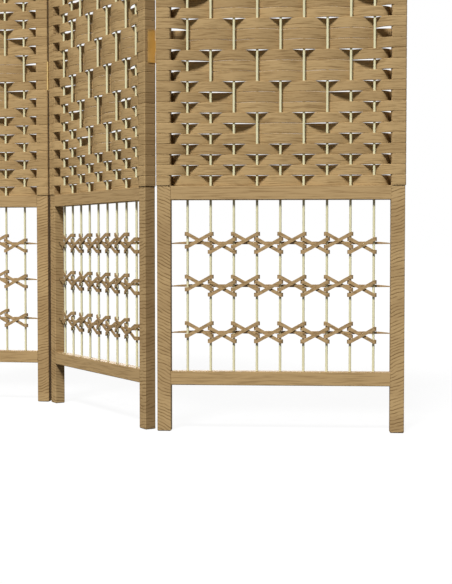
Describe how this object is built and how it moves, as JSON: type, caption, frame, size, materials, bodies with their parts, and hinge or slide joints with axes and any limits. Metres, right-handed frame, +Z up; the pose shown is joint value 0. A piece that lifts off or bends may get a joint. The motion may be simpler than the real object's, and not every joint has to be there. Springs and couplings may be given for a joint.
{
  "type": "folding screen",
  "caption": "Zigzag folding screen of hinged timber frames, with wide wood strips woven through slim rods and open windows of crossed slats.",
  "frame": {"origin": "middle of the screen's outer box in plan, at the floor", "axes": "+Z up, -Y towards the front of the screen as pictured, +X to its right"},
  "size_m": [1.1572, 0.5242, 1.7798],
  "materials": {
    "frame": "stained, satin",
    "strip": "matt, with a fine grain",
    "rod": "pale, satin",
    "brass": "dull"
  },
  "bodies": {
    "middle_panel": {"middle_panel_left_stile": "frame", "middle_panel_right_stile": "frame", "middle_panel_bottom_rail": "frame", "middle_panel_lower_rail": "frame", "middle_panel_upper_rail": "frame", "middle_panel_top_rail": "frame", "middle_panel_rods": "rod", "middle_panel_odd_rows": "strip", "middle_panel_even_rows": "strip", "middle_panel_diamond_rows": "strip", "middle_panel_lower_cores": "strip", "middle_panel_lower_slats_one": "strip", "middle_panel_lower_slats_two": "strip", "middle_panel_upper_cores": "strip", "middle_panel_upper_slats_one": "strip", "middle_panel_upper_slats_two": "strip", "middle_panel_hinge_screws": "brass", "left_hinge_inner_leaves": "brass", "right_hinge_inner_leaves": "brass"},
    "left_panel": {"left_panel_left_stile": "frame", "left_panel_right_stile": "frame", "left_panel_bottom_rail": "frame", "left_panel_lower_rail": "frame", "left_panel_upper_rail": "frame", "left_panel_top_rail": "frame", "left_panel_rods": "rod", "left_panel_odd_rows": "strip", "left_panel_even_rows": "strip", "left_panel_diamond_rows": "strip", "left_panel_lower_cores": "strip", "left_panel_lower_slats_one": "strip", "left_panel_lower_slats_two": "strip", "left_panel_upper_cores": "strip", "left_panel_upper_slats_one": "strip", "left_panel_upper_slats_two": "strip", "left_panel_hinge_screws": "brass", "left_hinge_outer_leaves": "brass", "left_hinge_pins": "brass"},
    "right_panel": {"right_panel_left_stile": "frame", "right_panel_right_stile": "frame", "right_panel_bottom_rail": "frame", "right_panel_lower_rail": "frame", "right_panel_upper_rail": "frame", "right_panel_top_rail": "frame", "right_panel_rods": "rod", "right_panel_odd_rows": "strip", "right_panel_even_rows": "strip", "right_panel_diamond_rows": "strip", "right_panel_lower_cores": "strip", "right_panel_lower_slats_one": "strip", "right_panel_lower_slats_two": "strip", "right_panel_upper_cores": "strip", "right_panel_upper_slats_one": "strip", "right_panel_upper_slats_two": "strip", "right_panel_hinge_screws": "brass", "right_hinge_outer_leaves": "brass", "right_hinge_pins": "brass"}
  },
  "joints": [
    {"name": "left_hinge", "type": "hinge", "parent": "middle_panel", "child": "left_panel", "pos_m": [-0.13099, 0.16673, 0], "axis": [0, 0, 1], "range_deg": [-50, 130]},
    {"name": "right_hinge", "type": "hinge", "parent": "middle_panel", "child": "right_panel", "pos_m": [0.12588, -0.20951, 0], "axis": [0, 0, 1], "range_deg": [-55.5, 124.5]}
  ]
}
